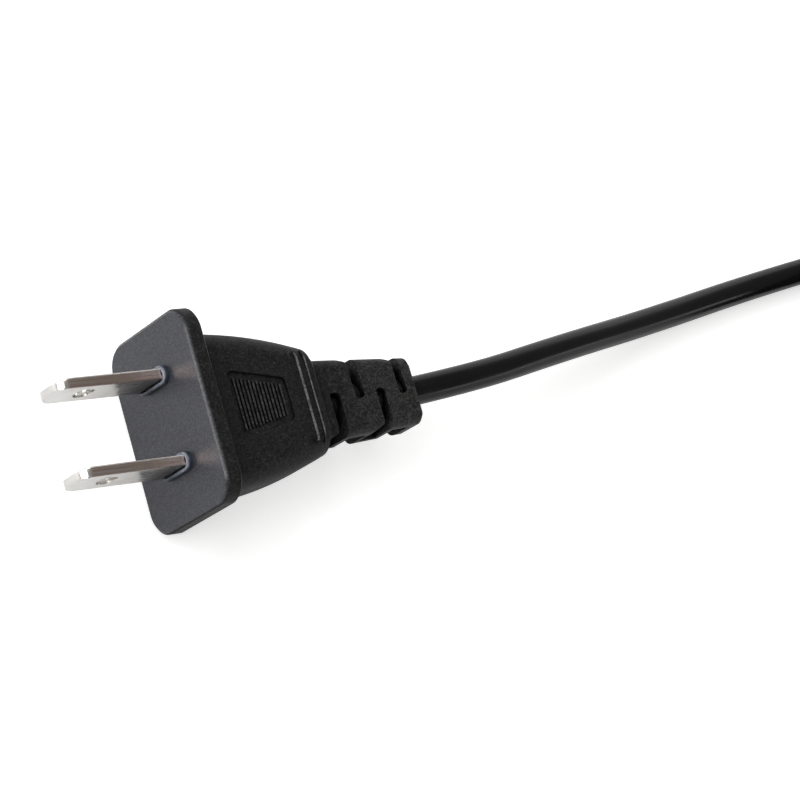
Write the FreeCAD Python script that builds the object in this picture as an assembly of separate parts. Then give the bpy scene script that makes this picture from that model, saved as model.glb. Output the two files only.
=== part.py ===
import FreeCAD, Part
import math
import os

# Frame: millimetres. The origin is on the front face, midway between the blades.
# +X is the way the blades point, Y runs from blade to blade, +Z is up with the wide grip face on top.
# The plug lies on the long straight edge of its flange, so the table is half a flange width below the axis.

# Blades
blade_pitch = 12.7
blade_width = 6.35
blade_thick = 1.5
blade_reach = 17.9
hole_dia = 3.18
hole_from_face = 12.0
tip_corner = 2.4
tip_bevel_long = 1.2
tip_bevel_deep = 0.32
blade_seat_end = 7.0
barrel_long = 5.0
barrel_wall = 0.7

# Flange
flange_width = 21.0
flange_tall = 28.5
flange_thick = 2.8
flange_corner = 3.8
flange_front_bevel = 0.45
flange_back_bevel = 0.4

# Body behind the flange
body_end = 23.7
body_half_tall = 5.8
body_front_half = 11.9
body_mid_half = 10.8
body_rear_half = 7.9
body_side_round = 3.6
body_end_bevel = 0.7

# Recessed grip panel on each wide face
panel_near = 7.8
panel_far = 17.6
panel_wide_half = 5.2
panel_narrow_half = 3.2
panel_corner = 1.0
panel_deep = 0.45
rib_count = 13
rib_wide = 0.3
rib_tall = 0.3
rib_margin = 1.1

# Two thin raised lines across each wide face, near the end of the body
line_places = (20.4, 21.8)
line_wides = (0.5, 0.3)
line_proud = 0.25
line_half = 7.0

# Strain relief
relief_end = 42.8
relief_front_half = 6.3
relief_rear_half = 5.15
relief_front_deep = 4.1
relief_rear_deep = 3.8
relief_round = 1.7
relief_end_round = 0.9
relief_sink = 1.5
relief_skin = 0.6
slot_mouth_drop = 0.7
slot_mouth_long = 1.7
slot_past_middle = 0.6
slot_side_reach = 1.6
slot_end_round = 0.6

# Slots: distance of the front wall from the face, width, and the side of the visible wide face they open on
slots = ((25.9, 1.9, 1), (30.5, 1.9, -1), (34.6, 1.65, 1), (38.8, 1.6, -1))

# Inner bridge that holds the blades
bridge_front = 1.0
bridge_end = 6.5
bridge_half_wide = 9.4
bridge_half_deep = 4.0
bridge_round = 1.2
collar_proud = 0.9
collar_gap = 0.18
collar_wall = 0.38
collar_sink = 0.5

# Cord
cord_dia = 4.5
cord_start = 24.0
core_dia = 1.8
core_apart = 0.2
strand_dia = 0.95
core_bare = 1.0
core_lead = 2.5

# Hank that holds the length the photograph leaves out
hank_turns_wide = 2
hank_layers = 3
hank_straight = 58.0
hank_inner_bend = 13.5
hank_slack = 0.15
hank_bevel = 1.3
hank_near_x = -147.0
hank_middle_y = -2.0
tie_wide = 5.0
tie_thick = 0.6
tie_from_bend = 20.0

# Stripped far end
tail_core_long = 12.0
tail_wire_long = 6.0

floor_z = -flange_width / 2
blade_places = (blade_pitch / 2, -blade_pitch / 2)


def vec(x, y, z):
    return FreeCAD.Vector(x, y, z)


def rounded_wire(x, half_y, half_z, radius):
    """A rounded rectangle in the plane X = x, always in the same order of edges."""
    edges = []
    diag = radius * (1 - math.sqrt(0.5))
    y, z = half_y, half_z
    corners = ((1, 1), (-1, 1), (-1, -1), (1, -1))
    ends = []
    for sy, sz in corners:
        side = vec(x, sy * y, sz * (z - radius))
        top = vec(x, sy * (y - radius), sz * z)
        mid = vec(x, sy * (y - diag), sz * (z - diag))
        first, last = (side, top) if sy * sz > 0 else (top, side)
        ends.append((first, mid, last))
    for k, (first, mid, last) in enumerate(ends):
        edges.append(Part.Arc(first, mid, last).toShape())
        edges.append(Part.LineSegment(last, ends[(k + 1) % 4][0]).toShape())
    return Part.Wire(edges)


def rounded_block(x_front, x_back, half_y, half_z, radius):
    face = Part.Face(rounded_wire(x_front, half_y, half_z, radius))
    return face.extrude(vec(x_back - x_front, 0, 0))


def box(x0, x1, y0, y1, z0, z1):
    low = vec(min(x0, x1), min(y0, y1), min(z0, z1))
    return Part.makeBox(abs(x1 - x0), abs(y1 - y0), abs(z1 - z0), low)


def round_edges(shape, radius, picked):
    edges = [e for e in shape.Edges if picked(e)]
    return shape.makeFillet(radius, edges)


def at_x(x):
    """Picks the edges that lie in the plane X = x."""
    return lambda e: abs(e.BoundBox.XMin - x) < 1e-4 and abs(e.BoundBox.XMax - x) < 1e-4


def turned(shape):
    """The same shape half a turn round the plug's axis."""
    other = shape.copy()
    other.rotate(vec(0, 0, 0), vec(1, 0, 0), 180)
    return other


def tube(points, dia, label=""):
    """A round tube along straight runs joined by tangent arcs. Gives the solid and the path's length."""
    runs = [(points[k + 1] - points[k]).Length for k in range(len(points) - 1)]
    edges = []
    radii = []
    here = points[0]
    for k in range(1, len(points) - 1):
        into = (points[k] - points[k - 1]).normalize()
        out = (points[k + 1] - points[k]).normalize()
        half_turn = into.getAngle(out) / 2
        cut = 0.45 * min(runs[k - 1], runs[k])
        radius = cut / math.tan(half_turn)
        radii.append(radius)
        start = points[k] - into * cut
        end = points[k] + out * cut
        inward = (out - into).normalize()
        middle = points[k] + inward * (radius / math.cos(half_turn) - radius)
        edges.append(Part.LineSegment(here, start).toShape())
        edges.append(Part.Arc(start, middle, end).toShape())
        here = end
    edges.append(Part.LineSegment(here, points[-1]).toShape())
    path = Part.Wire(edges)
    ring = Part.Wire(Part.makeCircle(dia / 2, points[0], points[1] - points[0]))
    solid = path.makePipeShell([ring], True, False)
    if label:
        ideal = math.pi * dia ** 2 / 4 * path.Length
        print(label, "radii", [round(r, 1) for r in radii], "length", round(path.Length, 1),
              "volume over section times length", round(solid.Volume / ideal, 4))
    return solid, path.Length


def mitred(points, dia):
    """A thin round rod with mitred corners."""
    path = Part.makePolygon(points)
    ring = Part.Wire(Part.makeCircle(dia / 2, points[0], points[1] - points[0]))
    return path.makePipeShell([ring], True, False, 1)


# Blade with rounded corners and a bevelled tip, locating hole and crimp barrel

def blade_at(y):
    blade = box(-blade_seat_end, blade_reach, y - blade_thick / 2, y + blade_thick / 2,
                -blade_width / 2, blade_width / 2)
    corners = [e for e in blade.Edges
               if abs(e.BoundBox.XMin - blade_reach) < 1e-4 and e.BoundBox.YLength > blade_thick / 2]
    blade = blade.makeFillet(tip_corner, corners)
    for side in (1, -1):
        outer = y + side * blade_thick / 2
        wedge = Part.Face(Part.makePolygon([
            vec(blade_reach - tip_bevel_long, outer, -blade_width),
            vec(blade_reach + tip_bevel_deep, outer + side * tip_bevel_deep, -blade_width),
            vec(blade_reach + tip_bevel_deep, outer - side * tip_bevel_deep, -blade_width),
            vec(blade_reach, outer - side * tip_bevel_deep, -blade_width),
            vec(blade_reach - tip_bevel_long, outer, -blade_width)]))
        blade = blade.cut(wedge.extrude(vec(0, 0, 2 * blade_width)))
    hole = Part.makeCylinder(hole_dia / 2, 2 * blade_thick, vec(hole_from_face, y - blade_thick, 0),
                             vec(0, 1, 0))
    barrel = Part.makeCylinder(strand_dia / 2 + barrel_wall, barrel_long,
                               vec(-blade_seat_end - barrel_long, y, 0), vec(1, 0, 0))
    bore = Part.makeCylinder(strand_dia / 2, barrel_long, vec(-blade_seat_end - barrel_long, y, 0),
                             vec(1, 0, 0))
    return blade.cut(hole).fuse(barrel).cut(bore).removeSplitter()


blades = [blade_at(y) for y in blade_places]

# Bridge with a collar round each blade

collar_half_y = blade_thick / 2 + collar_gap + collar_wall
collar_half_z = blade_width / 2 + collar_gap + collar_wall
recess_half_y = blade_thick / 2 + collar_gap
recess_half_z = blade_width / 2 + collar_gap


def stadium(x_front, x_back, y, half_y, half_z):
    block = rounded_block(x_front, x_back, half_y, half_z, half_y * 0.98)
    block.translate(vec(0, y, 0))
    return block


bridge = rounded_block(-bridge_end, -bridge_front, bridge_half_wide, bridge_half_deep, bridge_round)
for y in blade_places:
    bridge = bridge.fuse(stadium(-bridge_front - collar_sink, collar_proud, y, collar_half_y, collar_half_z))
for y, blade in zip(blade_places, blades):
    bridge = bridge.cut(stadium(0, collar_proud + collar_sink, y, recess_half_y, recess_half_z))
    bridge = bridge.cut(box(-bridge_end - collar_sink, blade_reach, y - blade_thick / 2, y + blade_thick / 2,
                            -blade_width / 2, blade_width / 2))
bridge = bridge.removeSplitter()

# Insulated cores and their strands, from the end of the sheath to the crimp barrels

barrel_back = blade_seat_end + barrel_long
core_end = barrel_back + core_bare
core_spread = (core_dia + core_apart) / 2
cores = []
strands = []
for y in blade_places:
    side = 1 if y > 0 else -1
    near = side * core_spread
    points = [vec(-cord_start, near, 0), vec(-cord_start + core_lead, near, 0),
              vec(-core_end - core_lead, y, 0), vec(-core_end, y, 0)]
    skin = mitred(points, core_dia)
    strand = mitred(points, strand_dia)
    lead = Part.makeCylinder(strand_dia / 2, core_end - blade_seat_end, vec(-core_end, y, 0), vec(1, 0, 0))
    cores.append(skin.cut(strand))
    strands.append(strand.fuse(lead).removeSplitter())

# Cord along the route seen in the photograph, then on the table to the hank

rest_z = floor_z + cord_dia / 2
hank_base = floor_z + tie_thick
first_z = hank_base + hank_slack + cord_dia / 2
outer_bend = hank_inner_bend + (hank_turns_wide - 1) * cord_dia
hank_half = outer_bend + cord_dia / 2 + hank_slack
near_bend_x = hank_near_x - hank_half
cord_points = [
    vec(-cord_start, 0, 0),
    vec(-58.4, 0, 0),
    vec(-92.0, -7.4, -4.6),
    vec(-131.0, -14.8, rest_z),
    vec(near_bend_x, hank_middle_y - outer_bend, first_z),
]
cord, cord_path = tube(cord_points, cord_dia, "cord")

# Hank: one closed solid of the outer shape of its turns, a ring of two straight legs and two round ends

hank_height = hank_layers * cord_dia + 2 * hank_slack


def leg_loop(half_width):
    """The outline of two straight legs joined by half circles, at the hank's underside."""
    low = hank_middle_y - half_width
    high = hank_middle_y + half_width
    far_x = near_bend_x - hank_straight
    z = hank_base
    return Part.Wire([
        Part.LineSegment(vec(near_bend_x, low, z), vec(far_x, low, z)).toShape(),
        Part.Arc(vec(far_x, low, z), vec(far_x - half_width, hank_middle_y, z), vec(far_x, high, z)).toShape(),
        Part.LineSegment(vec(far_x, high, z), vec(near_bend_x, high, z)).toShape(),
        Part.Arc(vec(near_bend_x, high, z), vec(near_bend_x + half_width, hank_middle_y, z),
                 vec(near_bend_x, low, z)).toShape()])


hole_half = hank_inner_bend - cord_dia / 2 - hank_slack
hank = Part.Face(leg_loop(hank_half)).cut(Part.Face(leg_loop(hole_half))).extrude(vec(0, 0, hank_height))
rims = [e for e in hank.Edges if e.BoundBox.ZLength < hank_slack]
hank = hank.makeChamfer(hank_bevel, rims)

# A strap round each leg

leg_middle = (hank_half + hole_half) / 2
ties = []
for side, x in ((1, near_bend_x - tie_from_bend), (-1, near_bend_x - hank_straight + tie_from_bend)):
    strap = rounded_block(x, x - tie_wide, (hank_half - hole_half) / 2 + tie_thick,
                          hank_height / 2 + tie_thick, hank_bevel)
    strap.translate(vec(0, hank_middle_y + side * leg_middle, hank_base + hank_height / 2))
    ties.append(strap.cut(hank))

# Tail: the last of the cord drops from the top inner turn to the table inside the hank

last_z = first_z + (hank_layers - 1) * cord_dia
tail_start_y = hank_middle_y - hank_inner_bend
tail_points = [
    vec(near_bend_x - 4.0, tail_start_y + 0.8, last_z - 0.3),
    vec(near_bend_x - 20.0, tail_start_y + 7.0, last_z - 4.6),
    vec(near_bend_x - 34.0, tail_start_y + 11.2, rest_z),
    vec(near_bend_x - 45.0, tail_start_y + 12.0, rest_z),
]
tail, tail_path = tube(tail_points, cord_dia, "tail")
hank = hank.cut(cord).cut(tail)
turn_bends = [hank_inner_bend + k * cord_dia for k in range(hank_turns_wide)]
hank_length = hank_layers * sum(2 * math.pi * r + 2 * hank_straight for r in turn_bends)

# Stripped cores and tinned wire ends

tail_end = tail_points[-1]
tail_dir = (tail_points[-1] - tail_points[-2]).normalize()
tail_side = vec(-tail_dir.y, tail_dir.x, 0)
tail_cores = []
tail_wires = []
for side in (1, -1):
    start = tail_end + tail_side * (side * core_spread)
    tail_cores.append(Part.makeCylinder(core_dia / 2, tail_core_long, start, tail_dir))
    tail_wires.append(Part.makeCylinder(strand_dia / 2, tail_wire_long, start + tail_dir * tail_core_long,
                                        tail_dir))

# Moulded body: flange, body, grip panels and strain relief in one piece

flange = rounded_block(0, -flange_thick, flange_tall / 2, flange_width / 2, flange_corner)
for place, bevel in ((0, flange_front_bevel), (-flange_thick, flange_back_bevel)):
    flange = flange.makeChamfer(bevel, [e for e in flange.Edges if at_x(place)(e)])


def body_block(grow):
    """The body's plan, bowed along both sides, extruded through its thickness with rounded long edges."""
    front, middle, rear = -flange_thick, -(flange_thick + body_end) / 2, -body_end
    low = -body_half_tall - grow
    sides = []
    for side in (1, -1):
        sides.append([vec(x, side * (half + grow), low) for x, half in
                      ((front, body_front_half), (middle, body_mid_half), (rear, body_rear_half))])
    left, right = sides
    plan = Part.Wire([
        Part.Arc(*left).toShape(),
        Part.LineSegment(left[2], right[2]).toShape(),
        Part.Arc(*right[::-1]).toShape(),
        Part.LineSegment(right[0], left[0]).toShape()])
    block = Part.Face(plan).extrude(vec(0, 0, 2 * (body_half_tall + grow)))
    span = body_end - flange_thick
    return round_edges(block, body_side_round,
                       lambda e: e.BoundBox.XLength > span / 2 and e.BoundBox.ZLength < span / 2)


body = body_block(0)
body = body.makeChamfer(body_end_bevel, [e for e in body.Edges if at_x(-body_end)(e)])
grown = body_block(line_proud)
for place, wide in zip(line_places, line_wides):
    for low, high in ((-2 * body_half_tall, -panel_deep), (panel_deep, 2 * body_half_tall)):
        strip = box(-place - wide / 2, -place + wide / 2, -line_half, line_half, low, high)
        body = body.fuse(grown.common(strip))


def panel_wire(inset, z):
    pts = [vec(-panel_near - inset, panel_wide_half - inset, z),
           vec(-panel_far + inset, panel_narrow_half - inset, z),
           vec(-panel_far + inset, -panel_narrow_half + inset, z),
           vec(-panel_near - inset, -panel_wide_half + inset, z)]
    return Part.makePolygon(pts + [pts[0]])


floor_of_panel = body_half_tall - panel_deep
pocket = Part.Face(panel_wire(0, floor_of_panel)).extrude(vec(0, 0, 2 * panel_deep))
upright = [e for e in pocket.Edges if e.BoundBox.ZLength > panel_deep and e.BoundBox.XLength < 1e-4]
pocket = pocket.makeFillet(panel_corner, upright)
rib_pitch = (panel_far - panel_near - 2 * rib_margin) / (rib_count - 1)
ribs = []
for k in range(rib_count):
    x = panel_near + rib_margin + k * rib_pitch
    share = (x - panel_near) / (panel_far - panel_near)
    half = panel_wide_half + (panel_narrow_half - panel_wide_half) * share - rib_margin
    ribs.append(box(-x - rib_wide / 2, -x + rib_wide / 2, -half, half, floor_of_panel - panel_deep,
                    floor_of_panel + rib_tall))
rib_set = Part.makeCompound(ribs)
for cutter, bars in ((pocket, rib_set), (turned(pocket), turned(rib_set))):
    body = body.cut(cutter)
    body = body.fuse(bars)

relief_start = body_end - relief_sink
relief_long = relief_end - relief_start
relief = Part.makeWedge(-relief_front_half, 0, -relief_front_deep, -relief_rear_deep, -relief_rear_half,
                        relief_front_half, relief_long, relief_front_deep, relief_rear_deep, relief_rear_half)
relief.rotate(vec(0, 0, 0), vec(0, 0, 1), 90)
relief.translate(vec(-relief_start, 0, 0))
relief = round_edges(relief, relief_round, lambda e: e.BoundBox.XLength > relief_long / 2)
relief = relief.makeChamfer(relief_end_round, [e for e in relief.Edges if at_x(-relief_end)(e)])
core_guard = Part.makeCylinder(cord_dia / 2 + relief_skin, relief_end, vec(-relief_end, 0, 0), vec(1, 0, 0))


def relief_half(place):
    """Half the width of the strain relief, that far behind the face."""
    share = (place - relief_start) / relief_long
    return relief_front_half + (relief_rear_half - relief_front_half) * share


def slot_cutter(place, wide, side):
    far = 2 * relief_front_half
    inner_end = -side * slot_past_middle
    block = box(-place - wide, -place, inner_end, side * far, -slot_side_reach, far)
    block = round_edges(block, slot_end_round, lambda e: e.BoundBox.ZLength > relief_front_half
                        and abs(e.BoundBox.YMin - inner_end) < 1e-4)
    edge = relief_half(place)
    mouth = Part.Face(Part.makePolygon([
        vec(-place, side * (edge - slot_mouth_drop), -slot_side_reach),
        vec(-place + slot_mouth_long, side * (edge + slot_mouth_drop / 4), -slot_side_reach),
        vec(-place, side * far, -slot_side_reach),
        vec(-place, side * (edge - slot_mouth_drop), -slot_side_reach)]))
    return block.fuse(mouth.extrude(vec(0, 0, far))).cut(core_guard)


for place, wide, side in slots:
    cutter = slot_cutter(place, wide, side)
    relief = relief.cut(cutter).cut(turned(cutter))

plug_body = flange.fuse(body).fuse(relief)
for piece in [bridge, cord] + blades + cores + strands:
    plug_body = plug_body.cut(piece)
plug_body = plug_body.cut(stadium(-bridge_front, collar_proud, blade_places[0], collar_half_y, collar_half_z))
plug_body = plug_body.cut(stadium(-bridge_front, collar_proud, blade_places[1], collar_half_y, collar_half_z))
plug_body = plug_body.removeSplitter()

nodes = {
    "plug_body": plug_body,
    "blade_bridge": bridge,
    "blade_left": blades[0],
    "blade_right": blades[1],
    "core_left": cores[0],
    "core_right": cores[1],
    "strand_left": strands[0],
    "strand_right": strands[1],
    "cord": cord,
    "cord_hank": hank,
    "hank_tie_left": ties[0],
    "hank_tie_right": ties[1],
    "cord_tail": tail,
    "tail_core_left": tail_cores[0],
    "tail_core_right": tail_cores[1],
    "tail_wire_left": tail_wires[0],
    "tail_wire_right": tail_wires[1],
}
os.makedirs("parts", exist_ok=True)
for name, shape in nodes.items():
    shape.exportStep("parts/" + name + ".step")
    bounds = shape.BoundBox
    print(name, "solids", len(shape.Solids), "valid", shape.isValid(), "volume", round(shape.Volume, 2),
          "x", round(bounds.XMin, 2), round(bounds.XMax, 2), "y", round(bounds.YMin, 2), round(bounds.YMax, 2),
          "z", round(bounds.ZMin, 2), round(bounds.ZMax, 2))
outside = cord_path - (relief_end - cord_start)
print("cord outside the plug", round(outside, 1), "hank", round(hank_length, 1), "tail", round(tail_path, 1),
      "whole lead", round(outside + hank_length + tail_path, 1))
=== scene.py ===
# Flat-blade mains plug, lying on its flange edge, with a round black cord that runs off to a tied hank
import bpy
import math
import numpy as np
from mathutils import Matrix, Vector


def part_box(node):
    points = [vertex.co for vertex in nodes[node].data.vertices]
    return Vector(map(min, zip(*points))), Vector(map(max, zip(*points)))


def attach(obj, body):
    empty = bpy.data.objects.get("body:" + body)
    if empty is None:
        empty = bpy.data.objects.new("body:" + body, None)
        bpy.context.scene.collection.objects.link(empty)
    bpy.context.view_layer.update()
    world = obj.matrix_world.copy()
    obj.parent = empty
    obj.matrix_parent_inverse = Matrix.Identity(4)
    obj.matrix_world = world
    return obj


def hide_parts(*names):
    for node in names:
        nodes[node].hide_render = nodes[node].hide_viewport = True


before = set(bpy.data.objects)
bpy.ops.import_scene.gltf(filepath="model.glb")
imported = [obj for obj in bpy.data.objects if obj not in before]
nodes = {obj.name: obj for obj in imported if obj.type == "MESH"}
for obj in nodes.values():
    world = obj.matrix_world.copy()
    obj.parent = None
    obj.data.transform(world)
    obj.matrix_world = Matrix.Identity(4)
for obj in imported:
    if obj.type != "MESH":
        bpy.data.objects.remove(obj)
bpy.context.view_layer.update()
print("frame loaded:", len(nodes), "nodes")

mm = 0.001


# Camera at the photograph's viewing angle; places and lengths are in millimetres here and below

cameraView = {
    "place": (200.64, 79.88, 293.62),
    "look": (-0.6231, -0.2039, -0.7551),
    "up": (-0.0918, -0.9397, 0.3295),
    "lens": 117.0,
    "sensor": 36.0,
    "nearest": 10.0,
    "furthest": 20000.0,
}


# The camera's own axes are look x up to the side, side x look to the top, and the look turned round
def addCamera(view):
    look = Vector(view["look"]).normalized()
    side = look.cross(Vector(view["up"])).normalized()
    top = side.cross(look)
    data = bpy.data.cameras.new("photoCamera")
    data.lens = view["lens"]
    data.sensor_width = view["sensor"]
    data.clip_start = view["nearest"] * mm
    data.clip_end = view["furthest"] * mm
    camera = bpy.data.objects.new("photoCamera", data)
    turn = Matrix((side, top, -look)).transposed().to_4x4()
    camera.matrix_world = Matrix.Translation(Vector(view["place"]) * mm) @ turn
    bpy.context.scene.collection.objects.link(camera)
    bpy.context.scene.camera = camera


addCamera(cameraView)
print("camera placed")


# Cord: the route in millimetres, then the hank's turns worked out by a loop

cordSize = {
    "width": 4.5,
    "exit": (-42.8, 0.0, 0.0),
    "route": [(-38.0, 0.0, 0.0), (-56.0, -1.4, 0.0), (-78.0, -5.3, -2.0), (-104.0, -9.6, -6.2),
              (-133.0, -14.8, -8.25)],
    "tail": [(-171.4, -14.7, 1.2), (-187.4, -8.5, -3.1), (-201.4, -4.3, -8.25), (-212.4, -3.5, -8.25)],
    "length": 1463.0,
    "sectionSteps": 7,
    "runSteps": 8,
    "order": 3,
}
hankSize = {
    "nearBend": -167.4,
    "straight": 58.0,
    "middle": -2.0,
    "innerBend": 13.5,
    "turnsWide": 2,
    "layers": 3,
    "lowest": -7.5,
    "arcPoints": 6,
    "slideFrom": 0.15,
    "slideOver": 0.7,
}


# Each turn is two legs and two half circles. Control points of a half circle of radius r stand at r / cos(half step),
# and the near half circle slides over to the next track or up to the next layer.
def hankPoints(hank, width):
    tracks = [hank["innerBend"] + k * width for k in range(hank["turnsWide"])][::-1]
    levels = [hank["lowest"] + k * width for k in range(hank["layers"])]
    turns = []
    for k, level in enumerate(levels):
        turns += [(radius, level) for radius in (tracks if k % 2 == 0 else tracks[::-1])]
    half = math.pi / hank["arcPoints"] / 2
    angles = half + 2 * half * np.arange(hank["arcPoints"])
    nearX, farX, middle = hank["nearBend"], hank["nearBend"] - hank["straight"], hank["middle"]
    points = []
    for turn, (radius, level) in enumerate(turns):
        nextRadius, nextLevel = turns[min(turn + 1, len(turns) - 1)]
        inset = radius * math.tan(half)
        reach = radius / math.cos(half)
        points += [(nearX - inset, middle - radius, level), (farX + inset, middle - radius, level)]
        points += [(farX - reach * math.sin(a), middle - reach * math.cos(a), level) for a in angles]
        points += [(farX + inset, middle + radius, level), (nearX - inset, middle + radius, level)]
        share = np.clip((angles / math.pi - hank["slideFrom"]) / hank["slideOver"], 0, 1)
        radii = (radius + (nextRadius - radius) * share) / math.cos(half)
        heights = level + (nextLevel - level) * share
        points += [(nearX + r * math.sin(a), middle + r * math.cos(a), z)
                   for a, r, z in zip(angles, radii, heights)]
    return points


# The radius stands on the points and the bevel is 1, so that the curve's own box is as tight as its tube
def addCord(name, points, size):
    curve = bpy.data.curves.new(name, "CURVE")
    curve.dimensions = "3D"
    curve.bevel_depth = 1.0
    curve.bevel_resolution = size["sectionSteps"]
    curve.resolution_u = size["runSteps"]
    curve.use_fill_caps = True
    spline = curve.splines.new("NURBS")
    spline.points.add(len(points) - 1)
    for point, place in zip(spline.points, points):
        point.co = (*(c * mm for c in place), 1.0)
        point.radius = size["width"] / 2 * mm
    spline.use_endpoint_u = True
    spline.order_u = size["order"]
    cord = bpy.data.objects.new(name, curve)
    bpy.context.scene.collection.objects.link(cord)
    return cord


cordRoute = cordSize["route"] + hankPoints(hankSize, cordSize["width"]) + cordSize["tail"]
powerCord = addCord("power_cord", cordRoute, cordSize)
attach(powerCord, "root")
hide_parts("cord", "cord_hank", "cord_tail")
print("cord laid:", len(cordRoute), "points")


# Swept pieces: a round section carried along a line

# A smooth mesh of places in millimetres, which rides on the one body
def newPiece(name, places, faces):
    mesh = bpy.data.meshes.new(name)
    mesh.from_pydata((places * mm).tolist(), [], faces)
    mesh.polygons.foreach_set("use_smooth", np.ones(len(faces), dtype=bool))
    piece = bpy.data.objects.new(name, mesh)
    bpy.context.scene.collection.objects.link(piece)
    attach(piece, "root")
    return piece


# Faces of a grid of rows by columns that closes along its columns, and along its rows too if looped
def gridFaces(rows, columns, first, looped):
    row = np.arange(rows if looped else rows - 1)[:, None]
    column = np.arange(columns)[None, :]
    nextRow, nextColumn = (row + 1) % rows, (column + 1) % columns
    corners = [row * columns + column, row * columns + nextColumn, nextRow * columns + nextColumn,
               nextRow * columns + column]
    return (np.stack([c.ravel() for c in np.broadcast_arrays(*corners)], axis=1) + first).tolist()


# Tube: P(u, a) = C(u) + r * (cos a * N(u) + sin a * B(u)), with N square to the line's tangent and B = T x N
def tubeGrid(centres, radius, sides):
    tangents = np.gradient(centres, axis=0)
    tangents /= np.linalg.norm(tangents, axis=1, keepdims=True)
    upward = np.array([0.0, 0.0, 1.0])
    normals = upward - tangents * (tangents @ upward)[:, None]
    normals /= np.linalg.norm(normals, axis=1, keepdims=True)
    binormals = np.cross(tangents, normals)
    angles = np.linspace(0, 2 * np.pi, sides, endpoint=False)
    ring = np.cos(angles)[None, :, None] * normals[:, None] + np.sin(angles)[None, :, None] * binormals[:, None]
    return centres[:, None] + radius * ring


# Bared wires of the far end: strands twisted round a straight core strand

wireSize = {
    "strands": 6,
    "strandWidth": 0.3,
    "twist": 9.0,
    "steps": 40,
    "sides": 8,
    "flare": 0.22,
    "flareFrom": 0.8,
}


# Strand k: C(u) = A + u (B - A) + R(u) (cos w * S + sin w * Z), w = 2 pi (k / n + length * u / twist). Every other
# strand opens by the flare toward the end, and the last strand of all is the straight one in the middle.
def addWire(name, node, size):
    low, high = (np.array(corner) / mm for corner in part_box(node))
    axis = np.array(tailAxis())
    middle = (low + high) / 2
    side = np.array([-axis[1], axis[0], 0.0])
    upward = np.array([0.0, 0.0, 1.0])
    wide = high[2] - low[2]
    long = (high[0] - low[0] - abs(side[0]) * wide) / abs(axis[0])
    along = np.linspace(0, 1, size["steps"])
    lineup = middle + (along[:, None] - 0.5) * long * axis
    opened = np.clip((along - size["flareFrom"]) / (1 - size["flareFrom"]), 0, 1)
    places = []
    faces = []
    for k in range(size["strands"] + 1):
        spin = 2 * np.pi * (k / size["strands"] + along * long / size["twist"])
        reach = np.full_like(along, (wide - size["strandWidth"]) / 2)
        reach *= 1 + size["flare"] * opened * (k % 2)
        if k == size["strands"]:
            reach *= 0
        centres = lineup + reach[:, None] * (np.cos(spin)[:, None] * side + np.sin(spin)[:, None] * upward)
        grid = tubeGrid(centres, size["strandWidth"] / 2, size["sides"])
        first = len(places) * size["steps"] * size["sides"]
        faces += gridFaces(size["steps"], size["sides"], first, False)
        faces.append([first + c for c in range(size["sides"])][::-1])
        last = first + (size["steps"] - 1) * size["sides"]
        faces.append([last + c for c in range(size["sides"])])
        places.append(grid.reshape(-1, 3))
    wire = newPiece(name, np.concatenate(places), faces)
    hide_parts(node)
    return wire


# Direction of the cord's last run
def tailAxis():
    run = Vector(cordSize["tail"][-1]) - Vector(cordSize["tail"][-2])
    return run.normalized()


bareWires = [addWire("bare_wire_" + side, "tail_wire_" + side, wireSize) for side in ("left", "right")]


# Straps round the hank's legs: a rounded band that sinks a little between the turns under it

strapSize = {
    "corner": 0.32,
    "sink": 0.16,
    "steps": 96,
    "across": 9,
    "rimRound": 0.35,
    "rimPower": 4,
    "innerRound": 0.3,
    "thick": 0.6,
}


# Band: P(t, s) is a superellipse loop in Y and Z, |cos t|^q and |sin t|^q of half width and height, less a dip of
# sink * cos^2 2t in the flats, and s runs over the outer face, round the rims and back along the inner face.
def addStrap(name, node, size):
    low, high = (np.array(corner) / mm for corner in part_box(node))
    middle = (low + high) / 2
    half = (high - low) / 2
    turn = np.linspace(0, 2 * np.pi, size["steps"], endpoint=False)
    shape = np.stack([np.sign(np.cos(turn)) * np.abs(np.cos(turn)) ** size["corner"],
                      np.sign(np.sin(turn)) * np.abs(np.sin(turn)) ** size["corner"]], axis=1)
    across = np.linspace(0, 1, size["across"])
    rim = size["rimRound"] * (2 * across - 1) ** size["rimPower"]
    outerX = low[0] + across * 2 * half[0]
    cross = [(x, r) for x, r in zip(outerX, rim)]
    cross += [(x, size["thick"] - r * size["innerRound"]) for x, r in zip(outerX[::-1], rim[::-1])]
    cross = np.array(cross)
    dip = size["sink"] * (np.cos(turn * 2) ** 2)
    rows = half[None, 1:] - (cross[:, 1][None, :, None] + dip[:, None, None])
    loop = middle[1:] + shape[:, None, :] * rows
    places = np.concatenate([np.broadcast_to(cross[:, 0][None, :, None], loop.shape[:2] + (1,)), loop], axis=2)
    faces = gridFaces(size["steps"], len(cross), 0, True)
    strap = newPiece(name, places.reshape(-1, 3), faces)
    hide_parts(node)
    return strap


straps = [addStrap("hank_strap_" + side, "hank_tie_" + side, strapSize) for side in ("left", "right")]

print("hank tied, wires bared")


# Smooth shading of the solid pieces, with creases kept

shadeSize = {
    "crease": 28.0,
    "join": 0.002,
    "rounded": {"blade_left": 0.32, "blade_right": 0.32},
    "segments": 3,
}


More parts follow.
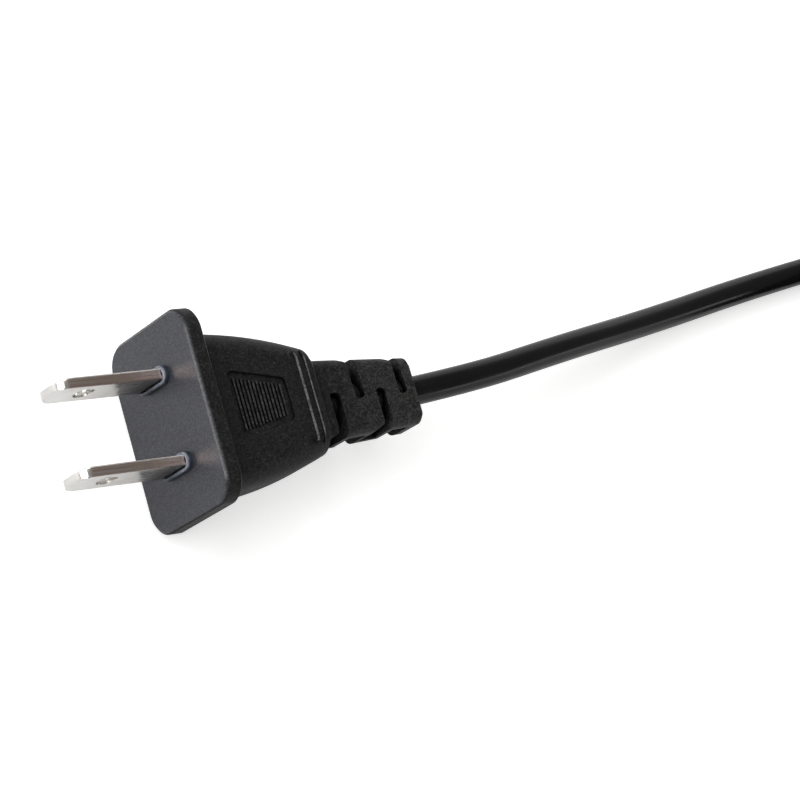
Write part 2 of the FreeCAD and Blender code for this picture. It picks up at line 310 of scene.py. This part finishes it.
# Every face is smooth, and an edge is sharp where its two faces meet at more than the crease angle
def smoothGroup(size):
    group = bpy.data.node_groups.new("smoothWithCreases", "GeometryNodeTree")
    group.interface.new_socket("Geometry", in_out="INPUT", socket_type="NodeSocketGeometry")
    group.interface.new_socket("Geometry", in_out="OUTPUT", socket_type="NodeSocketGeometry")
    start = group.nodes.new("NodeGroupInput")
    end = group.nodes.new("NodeGroupOutput")
    smooth = group.nodes.new("GeometryNodeSetShadeSmooth")
    crease = group.nodes.new("GeometryNodeSetShadeSmooth")
    crease.domain = "EDGE"
    crease.inputs["Shade Smooth"].default_value = False
    angle = group.nodes.new("GeometryNodeInputMeshEdgeAngle")
    sharp = group.nodes.new("FunctionNodeCompare")
    sharp.operation = "GREATER_THAN"
    sharp.inputs[1].default_value = math.radians(size["crease"])
    group.links.new(start.outputs[0], smooth.inputs["Geometry"])
    group.links.new(smooth.outputs[0], crease.inputs["Geometry"])
    group.links.new(angle.outputs["Unsigned Angle"], sharp.inputs[0])
    group.links.new(sharp.outputs[0], crease.inputs["Selection"])
    group.links.new(crease.outputs[0], end.inputs[0])
    return group


# A solid's loose triangles are joined, the blades' edges rounded, and flat faces kept flat by weighted normals
def shadeSolid(node, group, size):
    weld = node.modifiers.new("joinCorners", "WELD")
    weld.merge_threshold = size["join"] * mm
    if node.name in size["rounded"]:
        bevel = node.modifiers.new("softEdges", "BEVEL")
        bevel.width = size["rounded"][node.name] * mm
        bevel.segments = size["segments"]
        bevel.limit_method = "ANGLE"
        bevel.angle_limit = math.radians(size["crease"])
    smooth = node.modifiers.new("smoothWithCreases", "NODES")
    smooth.node_group = group
    even = node.modifiers.new("flatFaces", "WEIGHTED_NORMAL")
    even.keep_sharp = True


creaseGroup = smoothGroup(shadeSize)
for node in nodes.values():
    shadeSolid(node, creaseGroup, shadeSize)
print("solids shaded")


# Small helpers for node trees

# Number inputs with their first values, and outputs with their kinds
def addSockets(group, inputs, outputs):
    for name, value in inputs.items():
        socket = group.interface.new_socket(name, in_out="INPUT", socket_type="NodeSocketFloat")
        socket.default_value = value
    for name, kind in outputs.items():
        group.interface.new_socket(name, in_out="OUTPUT", socket_type=kind)
    return group.nodes.new("NodeGroupInput"), group.nodes.new("NodeGroupOutput")


# A sum, product or the like of two values, each a number or a socket
def mathNode(tree, operation, first, second=None, clamp=False):
    node = tree.nodes.new("ShaderNodeMath")
    node.operation = operation
    node.use_clamp = clamp
    for socket, value in zip(node.inputs, (first, second)):
        if isinstance(value, (int, float)):
            socket.default_value = value
        elif value is not None:
            tree.links.new(value, socket)
    return node.outputs[0]


# A value taken from one range to another, held at its ends
def rangeNode(tree, value, low, high, toLow=0.0, toHigh=1.0):
    node = tree.nodes.new("ShaderNodeMapRange")
    tree.links.new(value, node.inputs["Value"])
    for socket, bound in zip(("From Min", "From Max", "To Min", "To Max"), (low, high, toLow, toHigh)):
        node.inputs[socket].default_value = bound
    return node.outputs["Result"]


# The same over a span given in millimetres
def spanNode(tree, value, span, toLow=0.0, toHigh=1.0):
    return rangeNode(tree, value, span[0] * mm, span[1] * mm, toLow, toHigh)


# All the values multiplied, each a number or a socket
def product(tree, first, *others):
    for other in others:
        first = mathNode(tree, "MULTIPLY", first, other)
    return first


# Noise has its mean near 0.5 and most of it within noiseSpan, and a darker tone comes in over darkSpan
noiseSpan = (0.3, 0.7)
darkSpan = (0.35, 0.7)


# Noise at a vector, with a scale that is a number or a socket
def noiseNode(tree, vector, scale, detail=2.0):
    node = tree.nodes.new("ShaderNodeTexNoise")
    tree.links.new(vector, node.inputs["Vector"])
    if isinstance(scale, (int, float)):
        node.inputs["Scale"].default_value = scale
    else:
        tree.links.new(scale, node.inputs["Scale"])
    node.inputs["Detail"].default_value = detail
    return node.outputs["Fac"]


# The place on the piece, in metres
def objectPlace(tree):
    return tree.nodes.new("ShaderNodeTexCoord").outputs["Object"]


# Node groups that several finishes share

grainSize = {
    "fineScale": 3600.0,
    "coarseScale": 1200.0,
    "cloudScale": 160.0,
    "fineShare": 0.75,
    "coarseShare": 0.25,
    "tones": (0.40, 0.60),
    "speckLevel": 0.6,
    "speckGain": 14.0,
}
edgeSize = {"radius": 0.15, "breakUp": 2600.0, "gain": 5.0, "samples": 6}
pocketShadeSize = {"reach": 2.6, "open": 0.62, "deep": 0.34, "samples": 8}


# Moulded grain: fine bumps of two sizes for the height, and sparse bright specks where both peak
def grainGroup(size):
    group = bpy.data.node_groups.new("mouldedGrain", "ShaderNodeTree")
    start, end = addSockets(group, {"Fine Scale": size["fineScale"], "Coarse Scale": size["coarseScale"],
                                    "Speck Level": size["speckLevel"]},
                            {"Height": "NodeSocketFloat", "Tone": "NodeSocketFloat", "Specks": "NodeSocketFloat",
                             "Cloud": "NodeSocketFloat"})
    place = objectPlace(group)
    fine = noiseNode(group, place, start.outputs["Fine Scale"], detail=3.0)
    coarse = noiseNode(group, place, start.outputs["Coarse Scale"])
    cloud = noiseNode(group, place, size["cloudScale"], detail=3.0)
    height = mathNode(group, "ADD", mathNode(group, "MULTIPLY", fine, size["fineShare"]),
                      mathNode(group, "MULTIPLY", coarse, size["coarseShare"]))
    excess = mathNode(group, "SUBTRACT", height, start.outputs["Speck Level"])
    specks = mathNode(group, "MULTIPLY", excess, size["speckGain"], clamp=True)
    group.links.new(height, end.inputs["Height"])
    group.links.new(rangeNode(group, height, *size["tones"]), end.inputs["Tone"])
    group.links.new(specks, end.inputs["Specks"])
    group.links.new(cloud, end.inputs["Cloud"])
    return group


# Edge highlight: a painted highlight along edges; the mask is one less the product of the rounded and the true
# normal, broken up by noise
def edgeGroup(size):
    group = bpy.data.node_groups.new("paintedEdgeHighlight", "ShaderNodeTree")
    start, end = addSockets(group, {"Radius": size["radius"] * mm, "Break Up": size["breakUp"], "Gain": size["gain"]},
                            {"Normal": "NodeSocketVector", "Highlight": "NodeSocketFloat"})
    rounded = group.nodes.new("ShaderNodeBevel")
    rounded.samples = size["samples"]
    group.links.new(start.outputs["Radius"], rounded.inputs["Radius"])
    flat = group.nodes.new("ShaderNodeNewGeometry")
    agreement = group.nodes.new("ShaderNodeVectorMath")
    agreement.operation = "DOT_PRODUCT"
    group.links.new(rounded.outputs[0], agreement.inputs[0])
    group.links.new(flat.outputs["Normal"], agreement.inputs[1])
    bend = mathNode(group, "SUBTRACT", 1.0, agreement.outputs["Value"], clamp=True)
    broken = noiseNode(group, objectPlace(group), start.outputs["Break Up"], detail=3.0)
    patchy = rangeNode(group, broken, *noiseSpan)
    paintedHighlight = mathNode(group, "MULTIPLY", bend, start.outputs["Gain"])
    paintedHighlight = mathNode(group, "MULTIPLY", paintedHighlight, patchy, clamp=True)
    group.links.new(rounded.outputs[0], end.inputs["Normal"])
    group.links.new(paintedHighlight, end.inputs["Highlight"])
    return group


# Pocket shade: painted shade, full in deep pockets, from the share of open space within reach
def pocketShadeGroup(size):
    group = bpy.data.node_groups.new("paintedPocketShade", "ShaderNodeTree")
    start, end = addSockets(group, {"Reach": size["reach"] * mm, "Open": size["open"], "Deep": size["deep"]},
                            {"Depth": "NodeSocketFloat"})
    space = group.nodes.new("ShaderNodeAmbientOcclusion")
    space.samples = size["samples"]
    group.links.new(start.outputs["Reach"], space.inputs["Distance"])
    ramp = group.nodes.new("ShaderNodeMapRange")
    group.links.new(space.outputs["AO"], ramp.inputs["Value"])
    group.links.new(start.outputs["Open"], ramp.inputs["From Min"])
    group.links.new(start.outputs["Deep"], ramp.inputs["From Max"])
    group.links.new(ramp.outputs["Result"], end.inputs["Depth"])
    return group


sharedGrain = grainGroup(grainSize)
sharedPocketShade = pocketShadeGroup(pocketShadeSize)
sharedEdge = edgeGroup(edgeSize)


# A shared group placed in a material with values of its own
def placeGroup(tree, group, values):
    node = tree.nodes.new("ShaderNodeGroup")
    node.node_tree = group
    for name, value in values.items():
        node.inputs[name].default_value = value
    return node


# Materials

# A material with its tree and its main shader
def newMaterial(name):
    material = bpy.data.materials.new(name)
    material.use_nodes = True
    tree = material.node_tree
    return material, tree, tree.nodes["Principled BSDF"]


# first * (1 - factor) + second * factor
def mixColour(tree, factor, first, second):
    mix = tree.nodes.new("ShaderNodeMix")
    mix.data_type = "RGBA"
    tree.links.new(factor, mix.inputs["Factor"])
    for socket, colour in ((mix.inputs["A"], first), (mix.inputs["B"], second)):
        if isinstance(colour, tuple):
            socket.default_value = (*colour, 1)
        else:
            tree.links.new(colour, socket)
    return mix.outputs["Result"]


# Bump from a height, laid over a normal of its own if one is given
def addBump(tree, shader, height, depth, strength, normal=None):
    bump = tree.nodes.new("ShaderNodeBump")
    bump.inputs["Distance"].default_value = depth * mm
    bump.inputs["Strength"].default_value = strength
    tree.links.new(height, bump.inputs["Height"])
    if normal is not None:
        tree.links.new(normal, bump.inputs["Normal"])
    tree.links.new(bump.outputs["Normal"], shader.inputs["Normal"])


# X, Y and Z of a vector
def splitVector(tree, vector):
    split = tree.nodes.new("ShaderNodeSeparateXYZ")
    tree.links.new(vector, split.inputs[0])
    return split.outputs


# A colour made darker or lighter by a share
def shade(colour, share):
    return tuple(c * share for c in colour)


# A soft box mask along one axis, in millimetres: full between low and high, gone one fade further out
def bandMask(tree, value, low, high, fade):
    rise = rangeNode(tree, value, (low - fade) * mm, low * mm)
    fall = rangeNode(tree, value, (high + fade) * mm, high * mm)
    return mathNode(tree, "MULTIPLY", rise, fall)


mouldedLook = {
    "body": (0.0118, 0.0125, 0.0123),
    "bodyTones": (0.45, 1.7),
    "relief": (0.0205, 0.0210, 0.0208),
    "reliefTones": (0.3, 2.1),
    "reliefSpan": (-25.0, -36.0),
    # the front face is the same moulding as the body; its lighter blue-grey is a painted sheen
    "face": (0.0275, 0.0292, 0.0385),
    "faceTones": (0.4, 1.75),
    "faceSpan": (-0.35, -0.35 / 3),
    "speck": (0.085, 0.085, 0.082),
    "speckShare": 0.4,
    # near black: the painted shade in pockets
    "pocketShadeColour": (0.0006, 0.0006, 0.0006),
    "pitRough": 0.4,
    # pale grey of the painted highlights on edges, raised lines and rib tops
    "paintedHighlight": (0.27, 0.275, 0.275),
    # painted edge highlight, stronger toward the rear
    "highlightShares": (0.2, 0.55),
    "highlightSpan": (-17.0, -24.0),
    "edgeRadius": 0.14,
    "edgeGain": 1.1,
    "grainDepth": 0.06,
    "grainStrength": 0.5,
    "bodyRough": 0.46,
    "faceRough": 0.40,
    "cloudRough": (-0.04, 0.05),
    "specular": 0.16,
    "faceGloss": 0.85,
    "lines": {-20.4: 0.15, -21.8: 0.07},
    "lineHeight": (5.85, 5.93),
    "lineFade": 0.1,
    # strength of the painted highlight on the raised lines
    "lineHighlight": 0.6,
    "lineGrain": (0.1, 0.9),
    "lineTones": (0.35, 1.0),
    "ribs": (-17.3, -8.2),
    "ribFade": 0.1,
    "ribHalf": 4.9,
    "ribSideFade": 0.2,
    "ribHeights": (5.57, 5.70),
    "ribHeightFade": 0.03,
    # strength of the faint painted highlight specks on the rib tops
    "ribHighlight": 0.13,
    "ribGrain": (0.1, 1.0),
    "ribTones": (0.15, 1.0),
}


# Painted highlights on the two raised lines and faint painted highlight specks on the ribs' tops, both broken up by
# the grain
def ridgeHighlight(tree, look, place, tone):
    x, y, z = place
    height = mathNode(tree, "ABSOLUTE", z)
    ridges = None
    for middle, half in look["lines"].items():
        line = bandMask(tree, x, middle - half, middle + half, look["lineFade"])
        ridges = line if ridges is None else mathNode(tree, "MAXIMUM", ridges, line)
    ridges = product(tree, ridges, spanNode(tree, height, look["lineHeight"]),
                     rangeNode(tree, tone, *look["lineGrain"], *look["lineTones"]), look["lineHighlight"])
    ribs = product(tree, bandMask(tree, height, *look["ribHeights"], look["ribHeightFade"]),
                   bandMask(tree, x, *look["ribs"], look["ribFade"]),
                   bandMask(tree, y, -look["ribHalf"], look["ribHalf"], look["ribSideFade"]),
                   rangeNode(tree, tone, *look["ribGrain"], *look["ribTones"]), look["ribHighlight"])
    return mathNode(tree, "MAXIMUM", ridges, ribs)


# Black body: darkest and lightest tones by the grain, a lighter strain relief, a blue-grey front face lighter than
# the body as a painted sheen, pale specks, painted highlights on edges and raised lines, painted shade in pockets
def mouldedBlack(look):
    material, tree, shader = newMaterial("mouldedBlack")
    grain = placeGroup(tree, sharedGrain, {})
    edge = placeGroup(tree, sharedEdge, {"Radius": look["edgeRadius"] * mm, "Gain": look["edgeGain"]})
    pocketShade = placeGroup(tree, sharedPocketShade, {})
    tone = grain.outputs["Tone"]
    place = splitVector(tree, objectPlace(tree))
    x = place["X"]
    face = spanNode(tree, x, look["faceSpan"])
    relief = spanNode(tree, x, look["reliefSpan"])
    dark, light = (mixColour(tree, relief, shade(look["body"], look["bodyTones"][k]),
                             shade(look["relief"], look["reliefTones"][k])) for k in (0, 1))
    body = mixColour(tree, tone, dark, light)
    # front face: a painted sheen, lighter and bluer than the body
    front = mixColour(tree, tone, *(shade(look["face"], share) for share in look["faceTones"]))
    base = mixColour(tree, face, body, front)
    base = mixColour(tree, product(tree, grain.outputs["Specks"], look["speckShare"]), base, look["speck"])
    # painted highlight along the edges, stronger toward the rear
    edgeHighlightMask = product(tree, edge.outputs["Highlight"], spanNode(tree, x, look["highlightSpan"], *look["highlightShares"]))
    highlightMask = mathNode(tree, "MAXIMUM", edgeHighlightMask, ridgeHighlight(tree, look, place, tone))
    # painted highlights laid on in pale grey
    base = mixColour(tree, highlightMask, base, look["paintedHighlight"])
    # painted shade: pockets darkened to near black by the occlusion mask
    base = mixColour(tree, pocketShade.outputs["Depth"], base, look["pocketShadeColour"])
    tree.links.new(base, shader.inputs["Base Color"])
    rough = mathNode(tree, "ADD", rangeNode(tree, face, 0.0, 1.0, look["bodyRough"], look["faceRough"]),
                     rangeNode(tree, grain.outputs["Cloud"], *noiseSpan, *look["cloudRough"]))
    rough = mathNode(tree, "ADD", rough, product(tree, pocketShade.outputs["Depth"], look["pitRough"]), clamp=True)
    tree.links.new(rough, shader.inputs["Roughness"])
    tree.links.new(product(tree, face, look["faceGloss"]), shader.inputs["Coat Weight"])
    shader.inputs["Coat Roughness"].default_value = look["faceRough"]
    # metallic in pockets too, so that they reflect almost nothing: part of the painted shade
    tree.links.new(pocketShade.outputs["Depth"], shader.inputs["Metallic"])
    shader.inputs["Specular IOR Level"].default_value = look["specular"]
    addBump(tree, shader, grain.outputs["Height"], look["grainDepth"], look["grainStrength"], edge.outputs["Normal"])
    return material


collarLook = {
    "colour": (0.022, 0.028, 0.040),
    # painted highlight colour along the collar's rim, weaker on the lower side as painted shade
    "rim": (0.34, 0.37, 0.45),
    "rimSpan": (0.5, 0.78),
    "rimTones": (0.35, 1.0),
    "lowerSpan": (-1.0, 2.0),
    "lowerRim": 0.25,
    "edgeRadius": 0.09,
    "edgeGain": 3.0,
    "edgeShare": 0.5,
    "pocketReach": 0.5,
    # near black: the painted shade in the collar's pockets
    "pocketShadeColour": (0.001, 0.001, 0.001),
    "rough": (0.28, 0.38),
    "grainDepth": 0.03,
    "grainStrength": 0.25,
}


# Collar round each blade's root: its own dark colour near the face, a painted highlight along its rim that is weaker
# on the lower side as painted shade, painted edge highlights, and painted shade in its pockets
def mouldedGrey(look):
    material, tree, shader = newMaterial("mouldedGrey")
    grain = placeGroup(tree, sharedGrain, {})
    edge = placeGroup(tree, sharedEdge, {"Radius": look["edgeRadius"] * mm, "Gain": look["edgeGain"]})
    pocketShade = placeGroup(tree, sharedPocketShade, {"Reach": look["pocketReach"] * mm})
    place = splitVector(tree, objectPlace(tree))
    # painted highlight along the rim, weaker on the lower side as painted shade
    rim = product(tree, spanNode(tree, place["X"], look["rimSpan"]),
                  rangeNode(tree, grain.outputs["Tone"], 0.0, 1.0, *look["rimTones"]),
                  spanNode(tree, place["Z"], look["lowerSpan"], look["lowerRim"], 1.0))
    highlightMask = mathNode(tree, "MAXIMUM", rim, product(tree, edge.outputs["Highlight"], look["edgeShare"]))
    base = mixColour(tree, highlightMask, look["colour"], look["rim"])
    # painted shade in the collar's pockets
    base = mixColour(tree, pocketShade.outputs["Depth"], base, look["pocketShadeColour"])
    tree.links.new(base, shader.inputs["Base Color"])
    tree.links.new(rangeNode(tree, grain.outputs["Cloud"], *noiseSpan, *look["rough"]), shader.inputs["Roughness"])
    addBump(tree, shader, grain.outputs["Height"], look["grainDepth"], look["grainStrength"], edge.outputs["Normal"])
    return material


bladeLook = {
    "plate": (0.74, 0.73, 0.70),
    # brighter toward the tip: a painted reflection
    "polished": (0.95, 0.945, 0.92),
    "tipHighlightSpan": (8.0, 15.0),
    "warm": (0.68, 0.53, 0.47),
    "warmRoot": (0.60, 0.40, 0.35),
    "rootSpan": (8.0, 3.08),
    "cutSpan": (3.08, 3.16),
    "cutStreaks": (0.35, 0.65),
    "cutTones": (0.35, 1.0),
    "warmStains": (0.5, 0.8),
    "stainWarmth": 0.4,
    # darker toward the root: a painted dark reflection of the face
    "rootShade": (0.15, 0.147, 0.14),
    "rootShadeSpan": (6.0, 1.5),
    "rootShadeStains": (0.3, 0.6),
    "rootShadeTones": (0.6, 1.0),
    "rootShadeCut": 0.2,
    # pale painted highlight line on the rounded edge
    "glint": (0.95, 0.95, 0.93),
    "glintMetal": 0.1,
    "glintSlope": (0.12, 0.35),
    "glintStreaks": (0.35, 0.55),
    "glintTones": (0.55, 1.0),
    "edgeRadius": 0.35,
    "rough": (0.11, 0.23),
    "roughStains": (0.4, 0.7),
    "stainRough": 0.05,
    "softSpan": (10.5, 5.0),
    "softRough": 0.12,
    "streakAcross": 5200.0,
    "streakAlong": 90.0,
    "streakShare": 0.6,
    "stainScale": 420.0,
    "pitScale": 3800.0,
    "pitShare": 0.25,
    "bumpDepth": 0.012,
    "bumpStrength": 0.35,
}


# Plated metal: warm along its cut edges, brighter toward the tip as a painted reflection, darker toward the face as a
# painted dark reflection, with fine streaks from a stretched noise, and a pale painted highlight line where the
# rounded edge faces up and away from +Y
def platedBlade(look):
    material, tree, shader = newMaterial("platedBlade")
    stretch = tree.nodes.new("ShaderNodeMapping")
    stretch.inputs["Scale"].default_value = (look["streakAlong"], look["streakAcross"], look["streakAcross"])
    tree.links.new(objectPlace(tree), stretch.inputs["Vector"])
    streaks = noiseNode(tree, stretch.outputs[0], scale=1.0, detail=3.0)
    stains = noiseNode(tree, objectPlace(tree), look["stainScale"], detail=4.0)
    pits = noiseNode(tree, objectPlace(tree), look["pitScale"])
    place = splitVector(tree, objectPlace(tree))
    x = place["X"]
    cut = spanNode(tree, mathNode(tree, "ABSOLUTE", place["Z"]), look["cutSpan"])
    warm = product(tree, cut, rangeNode(tree, streaks, *look["cutStreaks"], *look["cutTones"]))
    warm = mathNode(tree, "MAXIMUM", warm, rangeNode(tree, stains, *look["warmStains"], 0.0, look["stainWarmth"]))
    # painted reflection: the plate brighter toward the tip
    base = mixColour(tree, spanNode(tree, x, look["tipHighlightSpan"]), look["plate"], look["polished"])
    cutColour = mixColour(tree, spanNode(tree, x, look["rootSpan"]), look["warm"], look["warmRoot"])
    base = mixColour(tree, warm, base, cutColour)
    # painted dark reflection near the root, patchy with the stains, weaker on the cut edges
    rootShade = product(tree, spanNode(tree, x, look["rootShadeSpan"]),
                   rangeNode(tree, stains, *look["rootShadeStains"], *look["rootShadeTones"]),
                   rangeNode(tree, cut, 0.0, 1.0, 1.0, look["rootShadeCut"]))
    base = mixColour(tree, rootShade, base, look["rootShade"])
    edge = placeGroup(tree, sharedEdge, {"Radius": look["edgeRadius"] * mm})
    slope = splitVector(tree, edge.outputs["Normal"])
    low, high = look["glintSlope"]
    # painted highlight line where the rounded normal faces up and away from +Y, mostly not metallic there
    glint = product(tree, rangeNode(tree, slope["Y"], -low, -high), rangeNode(tree, slope["Z"], low, high),
                   rangeNode(tree, streaks, *look["glintStreaks"], *look["glintTones"]))
    base = mixColour(tree, glint, base, look["glint"])
    tree.links.new(base, shader.inputs["Base Color"])
    tree.links.new(rangeNode(tree, glint, 0.0, 1.0, 1.0, look["glintMetal"]), shader.inputs["Metallic"])
    rough = mathNode(tree, "ADD", rangeNode(tree, streaks, *noiseSpan, *look["rough"]),
                     rangeNode(tree, stains, *look["roughStains"], 0.0, look["stainRough"]))
    rough = mathNode(tree, "ADD", rough, spanNode(tree, x, look["softSpan"], 0.0, look["softRough"]))
    tree.links.new(rough, shader.inputs["Roughness"])
    height = mathNode(tree, "ADD", product(tree, streaks, look["streakShare"]), product(tree, pits, look["pitShare"]))
    addBump(tree, shader, height, look["bumpDepth"], look["bumpStrength"], edge.outputs["Normal"])
    return material


sheathLook = {
    "colour": (0.0055, 0.0060, 0.0062),
    "dust": (0.06, 0.06, 0.06),
    "dustShare": 0.12,
    "rough": (0.16, 0.25),
    "specular": 0.22,
    "fineScale": 2600.0,
    "coarseScale": 700.0,
    "grainDepth": 0.02,
    "grainStrength": 0.16,
}


# Smooth extruded sheath: slow waves in the gloss and a very fine skin
def cordSheath(look):
    material, tree, shader = newMaterial("cordSheath")
    grain = placeGroup(tree, sharedGrain, {"Fine Scale": look["fineScale"], "Coarse Scale": look["coarseScale"]})
    dust = product(tree, grain.outputs["Specks"], look["dustShare"])
    tree.links.new(mixColour(tree, dust, look["colour"], look["dust"]), shader.inputs["Base Color"])
    tree.links.new(rangeNode(tree, grain.outputs["Cloud"], *noiseSpan, *look["rough"]), shader.inputs["Roughness"])
    shader.inputs["Specular IOR Level"].default_value = look["specular"]
    addBump(tree, shader, grain.outputs["Height"], look["grainDepth"], look["grainStrength"])
    return material


coreLook = {
    "left": ("coreBlack", (0.02, 0.02, 0.022)),
    "right": ("coreWhite", (0.72, 0.71, 0.68)),
    "darker": 0.7,
    "rough": (0.39, 0.51),
    "grainDepth": 0.03,
    "grainStrength": 0.3,
}


# Insulation of one core: slow clouds of a darker tone, and gloss that follows the grain
def softPlastic(side, look):
    name, colour = look[side]
    material, tree, shader = newMaterial(name)
    grain = placeGroup(tree, sharedGrain, {})
    cloud = rangeNode(tree, grain.outputs["Cloud"], *darkSpan)
    tree.links.new(mixColour(tree, cloud, colour, shade(colour, look["darker"])), shader.inputs["Base Color"])
    tree.links.new(rangeNode(tree, grain.outputs["Height"], *noiseSpan, *look["rough"]), shader.inputs["Roughness"])
    addBump(tree, shader, grain.outputs["Height"], look["grainDepth"], look["grainStrength"])
    return material


strapLook = {
    "colour": (0.035, 0.035, 0.038),
    "darker": 0.5,
    "rough": (0.75, 0.55),
    "weaveScale": 380.0,
    "weaveBend": 0.6,
    "weaveDepth": 0.08,
    "weaveStrength": 0.6,
}


# Woven look of the strap: two crossed waves for the height
def wovenStrap(look):
    material, tree, shader = newMaterial("strapWeave")
    waves = []
    for direction in ("X", "DIAGONAL"):
        wave = tree.nodes.new("ShaderNodeTexWave")
        wave.bands_direction = direction
        wave.inputs["Scale"].default_value = look["weaveScale"]
        wave.inputs["Distortion"].default_value = look["weaveBend"]
        tree.links.new(objectPlace(tree), wave.inputs["Vector"])
        waves.append(wave.outputs["Fac"])
    height = product(tree, *waves)
    tree.links.new(mixColour(tree, height, shade(look["colour"], look["darker"]), look["colour"]),
                   shader.inputs["Base Color"])
    tree.links.new(rangeNode(tree, height, 0.0, 1.0, *look["rough"]), shader.inputs["Roughness"])
    addBump(tree, shader, height, look["weaveDepth"], look["weaveStrength"])
    return material


wireLook = {
    "copperStrand": (0.86, 0.50, 0.33),
    "tinnedWire": (0.78, 0.77, 0.74),
    "darker": 0.7,
    "rough": (0.24, 0.40),
    "markScale": 2400.0,
    "markDepth": 0.01,
    "markStrength": 0.25,
}


# Drawn wire: fine marks in tone, gloss and height
def drawnMetal(name, look):
    material, tree, shader = newMaterial(name)
    shader.inputs["Metallic"].default_value = 1.0
    marks = noiseNode(tree, objectPlace(tree), look["markScale"], detail=3.0)
    base = mixColour(tree, rangeNode(tree, marks, *darkSpan), look[name], shade(look[name], look["darker"]))
    tree.links.new(base, shader.inputs["Base Color"])
    tree.links.new(rangeNode(tree, marks, *noiseSpan, *look["rough"]), shader.inputs["Roughness"])
    addBump(tree, shader, marks, look["markDepth"], look["markStrength"])
    return material


# One material all over a piece
def dress(piece, material):
    piece.data.materials.clear()
    piece.data.materials.append(material)


bladeFinish = platedBlade(bladeLook)
strandFinish = drawnMetal("copperStrand", wireLook)
dress(nodes["plug_body"], mouldedBlack(mouldedLook))
dress(nodes["blade_bridge"], mouldedGrey(collarLook))
for side in ("left", "right"):
    coreFinish = softPlastic(side, coreLook)
    dress(nodes["blade_" + side], bladeFinish)
    dress(nodes["strand_" + side], strandFinish)
    dress(nodes["core_" + side], coreFinish)
    dress(nodes["tail_core_" + side], coreFinish)
dress(powerCord, cordSheath(sheathLook))
strapFinish = wovenStrap(strapLook)
wireFinish = drawnMetal("tinnedWire", wireLook)
for piece in straps:
    dress(piece, strapFinish)
for piece in bareWires:
    dress(piece, wireFinish)
print("finishes laid on")


# Floor, backdrop and light

studio = {
    "floorHeight": -10.5,
    "floorSize": 6000.0,
    "floorWhite": 0.74,
    "floorGlow": (0.62, 1.0),
    "glowSpan": (350.0, 900.0),
    "floorRough": 0.9,
    "floorSpecular": 0.1,
    "floorSheen": 0.12,
    "backdropEdge": (0.17, 0.40),
    "overhead": (0.200, 0.190, 0.180),
    "reflected": 0.9,
}
lamps = {  # places in metres, aimed at the origin
    "keySoftbox": {"place": (0.78, -0.12, 0.80), "size": 0.7, "power": 9.0},
    "rimStrip": {"place": (-0.98, 0.52, 0.36), "size": 0.5, "tall": 0.1, "power": 0.42},
    "topSoftbox": {"place": (0.15, -0.75, 0.80), "size": 0.5, "power": 4.0},
}


# The floor shows white to the camera and pale in reflections, keeps its shadow, and glows more far from the plug,
# where the lamps don't reach it
def addFloor(settings):
    half = settings["floorSize"] / 2 * mm
    z = settings["floorHeight"] * mm
    mesh = bpy.data.meshes.new("floor")
    mesh.from_pydata([(-half, -half, z), (half, -half, z), (half, half, z), (-half, half, z)], [], [(0, 1, 2, 3)])
    floor = bpy.data.objects.new("floor", mesh)
    bpy.context.scene.collection.objects.link(floor)
    material, tree, shader = newMaterial("floor")
    shader.inputs["Base Color"].default_value = (*(settings["floorWhite"],) * 3, 1)
    shader.inputs["Roughness"].default_value = settings["floorRough"]
    shader.inputs["Specular IOR Level"].default_value = settings["floorSpecular"]
    rays = tree.nodes.new("ShaderNodeLightPath")
    direct = mathNode(tree, "MAXIMUM", rays.outputs["Is Camera Ray"], rays.outputs["Is Transmission Ray"])
    away = tree.nodes.new("ShaderNodeVectorMath")
    away.operation = "LENGTH"
    tree.links.new(objectPlace(tree), away.inputs[0])
    glow = spanNode(tree, away.outputs["Value"], settings["glowSpan"], *settings["floorGlow"])
    direct = product(tree, direct, glow)
    mirrored = product(tree, rays.outputs["Is Glossy Ray"], settings["floorSheen"])
    shader.inputs["Emission Color"].default_value = (1, 1, 1, 1)
    tree.links.new(mathNode(tree, "MAXIMUM", direct, mirrored), shader.inputs["Emission Strength"])
    dress(floor, material)


# White all round up to the height of the backdrop, and a dim ceiling above it
def addBackdrop(settings):
    world = bpy.data.worlds.new("studio")
    world.use_nodes = True
    tree = world.node_tree
    split = splitVector(tree, tree.nodes.new("ShaderNodeTexCoord").outputs["Generated"])
    ceiling = rangeNode(tree, split["Z"], *settings["backdropEdge"])
    background = tree.nodes["Background"]
    tree.links.new(mixColour(tree, ceiling, (1.0, 1.0, 1.0), settings["overhead"]), background.inputs["Color"])
    rays = tree.nodes.new("ShaderNodeLightPath")
    tree.links.new(rangeNode(tree, rays.outputs["Is Camera Ray"], 0.0, 1.0, settings["reflected"], 1.0),
                   background.inputs["Strength"])
    bpy.context.scene.world = world


# A square or oblong softbox whose face looks at the origin
def addLamp(name, lamp):
    data = bpy.data.lights.new(name, "AREA")
    data.shape = "RECTANGLE"
    data.size = lamp["size"]
    data.size_y = lamp.get("tall", lamp["size"])
    data.energy = lamp["power"]
    light = bpy.data.objects.new(name, data)
    light.location = lamp["place"]
    light.rotation_euler = (-Vector(lamp["place"])).to_track_quat("-Z", "Y").to_euler()
    bpy.context.scene.collection.objects.link(light)


addFloor(studio)
addBackdrop(studio)
for name, lamp in lamps.items():
    addLamp(name, lamp)
bpy.context.scene.view_settings.view_transform = "Standard"
print("studio lit")
